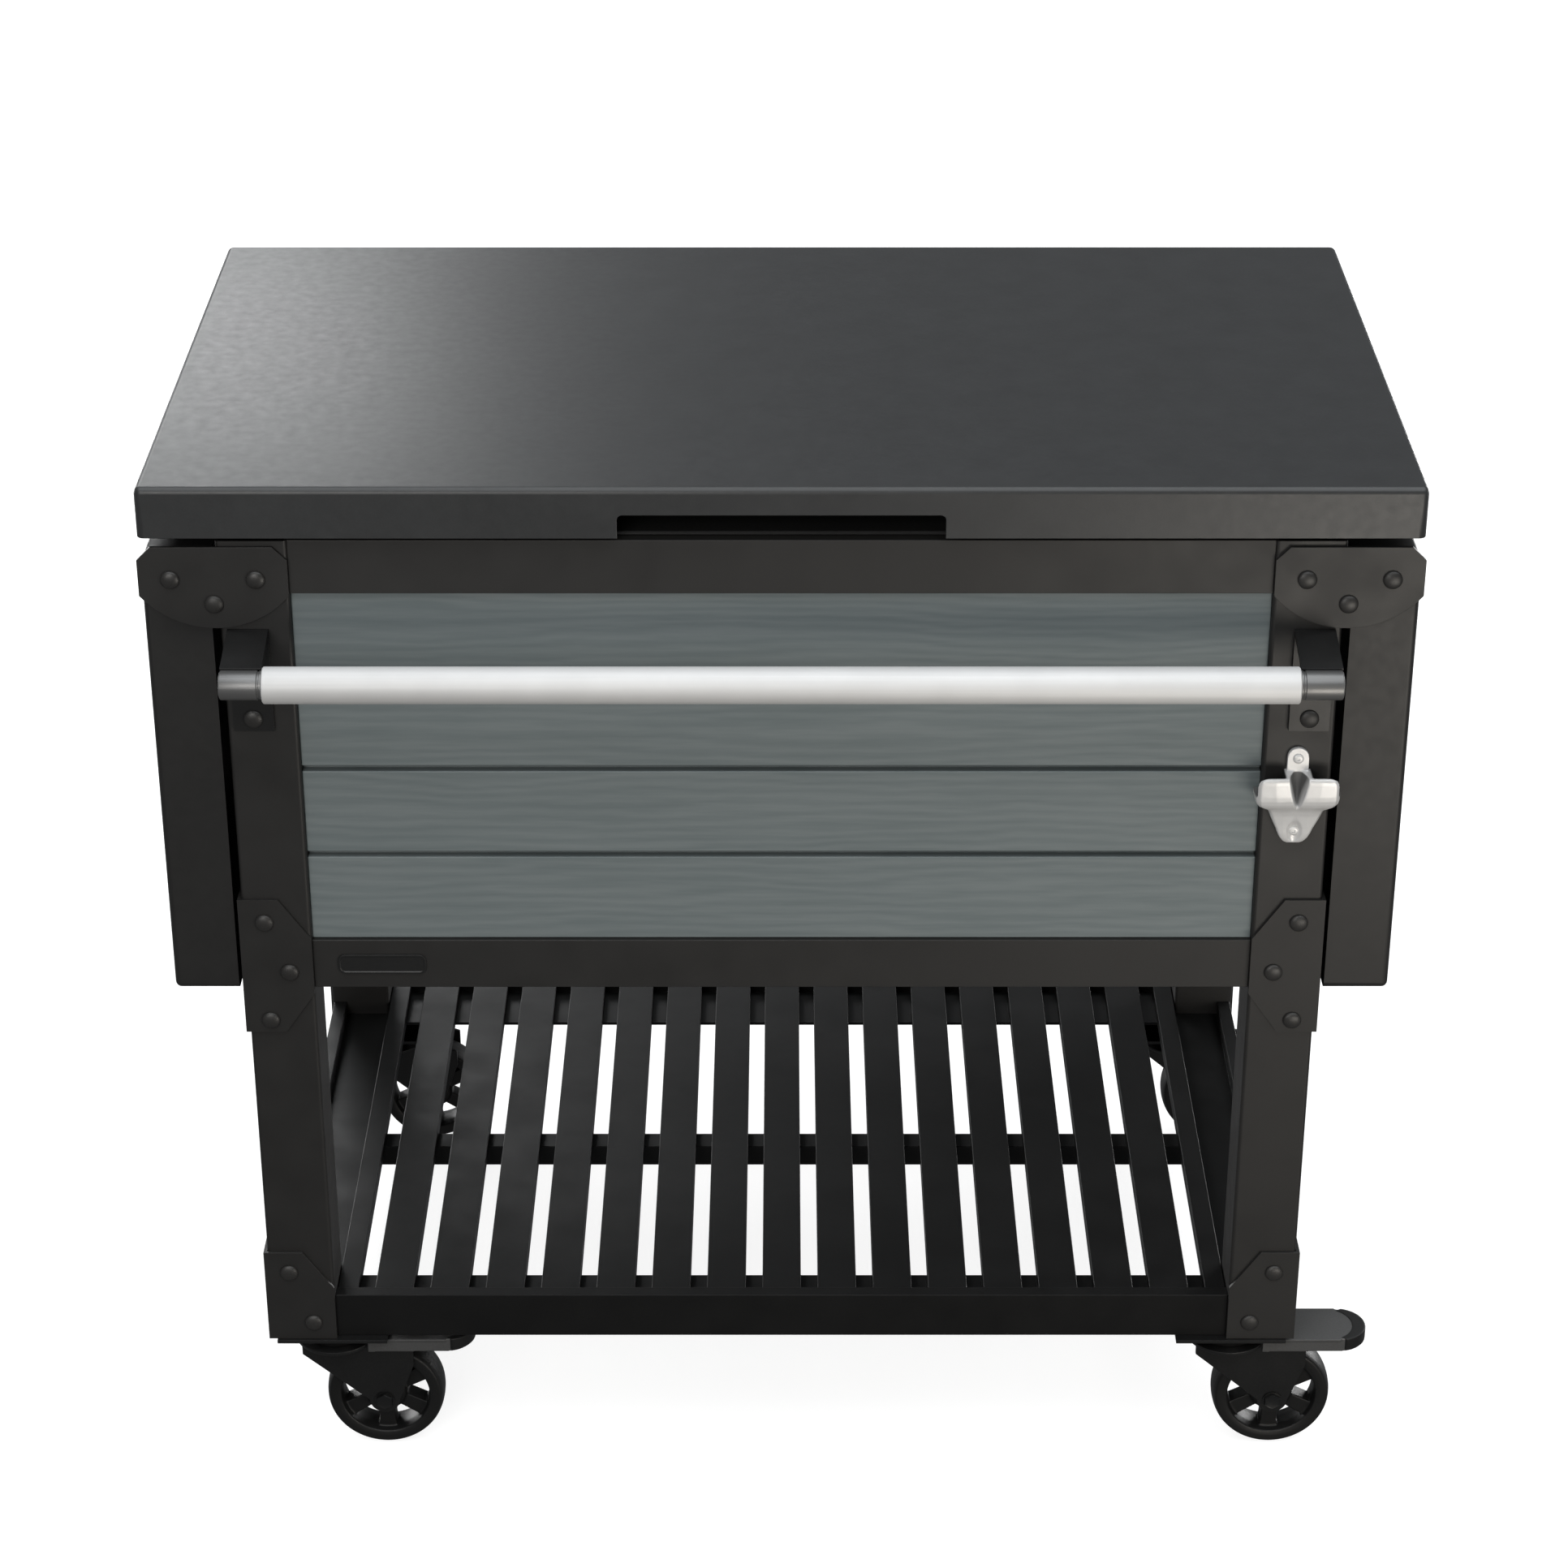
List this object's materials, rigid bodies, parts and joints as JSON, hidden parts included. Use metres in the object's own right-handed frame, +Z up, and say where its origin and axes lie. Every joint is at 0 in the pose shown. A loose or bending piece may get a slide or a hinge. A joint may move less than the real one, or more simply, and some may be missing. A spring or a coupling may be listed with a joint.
{
  "type": "patio cooler cart",
  "caption": "Insulated patio cooler on a caster-wheeled leg frame with plank sides, a hinged lid, fold-up side leaves, a push bar, a bottle opener and a slatted lower shelf.",
  "frame": {"origin": "on the floor, midway between the four legs", "axes": "+X to the right of someone facing the push bar, +Y to the back, +Z up"},
  "size_m": [1.002, 0.638, 0.91],
  "materials": {
    "frame_paint": "satin",
    "top_paint": "satin",
    "panel_paint": "satin",
    "plank": "matte",
    "shelf_paint": "satin",
    "bracket_paint": "satin",
    "bolt_finish": "satin",
    "bar_metal": "satin",
    "ferrule_metal": "polished",
    "opener_metal": "satin",
    "hinge_steel": "satin",
    "caster_paint": "satin",
    "axle_steel": "satin",
    "wheel_plastic": "matte",
    "pedal_steel": "satin",
    "tub_plastic": "satin",
    "foam": "matte",
    "gasket_rubber": "matte",
    "drain_plastic": "matte",
    "badge_plastic": "satin"
  },
  "bodies": {
    "cart": {"badge_plate": "badge_plastic", "bar_bracket_screws": "bolt_finish", "bar_brackets": "bracket_paint", "bar_ferrules": "ferrule_metal", "base_gussets": "frame_paint", "bottle_opener": "opener_metal", "box_floor_panel": "panel_paint", "box_front_rail": "frame_paint", "box_rear_rail": "frame_paint", "box_side_rails": "frame_paint", "caster_plates": "caster_paint", "drain_spout": "drain_plastic", "front_left_leg": "frame_paint", "front_planks": "plank", "front_right_leg": "frame_paint", "gusset_bolts": "bolt_finish", "hinge_frame_leaves": "hinge_steel", "hinge_pins": "hinge_steel", "leaf_bracket_bolts": "bolt_finish", "leaf_brackets": "frame_paint", "leaf_pivot_bolts": "bolt_finish", "mid_gussets": "frame_paint", "opener_screws": "opener_metal", "push_bar": "bar_metal", "rear_left_leg": "frame_paint", "rear_planks": "plank", "rear_right_leg": "frame_paint", "shelf_cross_bar": "shelf_paint", "shelf_front_rail": "shelf_paint", "shelf_rear_rail": "shelf_paint", "shelf_side_rails": "shelf_paint", "shelf_slats": "shelf_paint", "side_panels": "panel_paint", "top_front_rail": "frame_paint", "top_rear_rail": "frame_paint", "top_side_rails": "frame_paint", "tub_insulation": "foam", "tub_liner": "tub_plastic"},
    "lid": {"lid_shell": "top_paint", "lid_pan": "tub_plastic", "lid_insulation": "foam", "lid_gasket": "gasket_rubber", "hinge_lid_leaves": "hinge_steel"},
    "left_leaf": {"left_leaf": "top_paint"},
    "right_leaf": {"right_leaf": "top_paint"},
    "drain_cap": {"drain_cap": "drain_plastic"},
    "front_left_swivel": {"front_left_fork": "caster_paint", "front_left_axle": "axle_steel"},
    "front_left_wheel": {"front_left_wheel": "wheel_plastic"},
    "front_left_pedal": {"front_left_brake_pedal": "pedal_steel"},
    "front_right_swivel": {"front_right_fork": "caster_paint", "front_right_axle": "axle_steel"},
    "front_right_wheel": {"front_right_wheel": "wheel_plastic"},
    "front_right_pedal": {"front_right_brake_pedal": "pedal_steel"},
    "rear_left_swivel": {"rear_left_fork": "caster_paint", "rear_left_axle": "axle_steel"},
    "rear_left_wheel": {"rear_left_wheel": "wheel_plastic"},
    "rear_right_swivel": {"rear_right_fork": "caster_paint", "rear_right_axle": "axle_steel"},
    "rear_right_wheel": {"rear_right_wheel": "wheel_plastic"}
  },
  "joints": [
    {"name": "lid_hinge", "type": "hinge", "parent": "cart", "child": "lid", "pos_m": [0, 0.287, 0.86625], "axis": [-1, 0, 0], "range_deg": [0, 100]},
    {"name": "left_leaf_fold", "type": "hinge", "parent": "cart", "child": "left_leaf", "pos_m": [-0.472, 0, 0.833], "axis": [0, 1, 0], "range_deg": [0, 90]},
    {"name": "right_leaf_fold", "type": "hinge", "parent": "cart", "child": "right_leaf", "pos_m": [0.472, 0, 0.833], "axis": [0, -1, 0], "range_deg": [0, 90]},
    {"name": "drain_cap_turn", "type": "hinge", "parent": "cart", "child": "drain_cap", "pos_m": [0.25, 0.12, 0.445], "axis": [0, 0, 1], "range_deg": [0, 90]},
    {"name": "front_left_swivel_turn", "type": "hinge", "parent": "cart", "child": "front_left_swivel", "pos_m": [-0.385, -0.2485, 0.11], "axis": [0, 0, 1], "continuous": true},
    {"name": "front_left_wheel_spin", "type": "hinge", "parent": "front_left_swivel", "child": "front_left_wheel", "pos_m": [-0.3444, -0.2485, 0.051], "axis": [0, 1, 0], "continuous": true},
    {"name": "front_left_pedal_press", "type": "hinge", "parent": "front_left_swivel", "child": "front_left_pedal", "pos_m": [-0.344, -0.2485, 0.1065], "axis": [0, 1, 0], "range_deg": [0, 7]},
    {"name": "front_right_swivel_turn", "type": "hinge", "parent": "cart", "child": "front_right_swivel", "pos_m": [0.385, -0.2485, 0.11], "axis": [0, 0, 1], "continuous": true},
    {"name": "front_right_wheel_spin", "type": "hinge", "parent": "front_right_swivel", "child": "front_right_wheel", "pos_m": [0.4256, -0.2485, 0.051], "axis": [0, 1, 0], "continuous": true},
    {"name": "front_right_pedal_press", "type": "hinge", "parent": "front_right_swivel", "child": "front_right_pedal", "pos_m": [0.426, -0.2485, 0.1065], "axis": [0, 1, 0], "range_deg": [0, 7]},
    {"name": "rear_left_swivel_turn", "type": "hinge", "parent": "cart", "child": "rear_left_swivel", "pos_m": [-0.385, 0.2485, 0.11], "axis": [0, 0, 1], "continuous": true},
    {"name": "rear_left_wheel_spin", "type": "hinge", "parent": "rear_left_swivel", "child": "rear_left_wheel", "pos_m": [-0.3444, 0.2485, 0.051], "axis": [0, 1, 0], "continuous": true},
    {"name": "rear_right_swivel_turn", "type": "hinge", "parent": "cart", "child": "rear_right_swivel", "pos_m": [0.385, 0.2485, 0.11], "axis": [0, 0, 1], "continuous": true},
    {"name": "rear_right_wheel_spin", "type": "hinge", "parent": "rear_right_swivel", "child": "rear_right_wheel", "pos_m": [0.4256, 0.2485, 0.051], "axis": [0, 1, 0], "continuous": true}
  ]
}
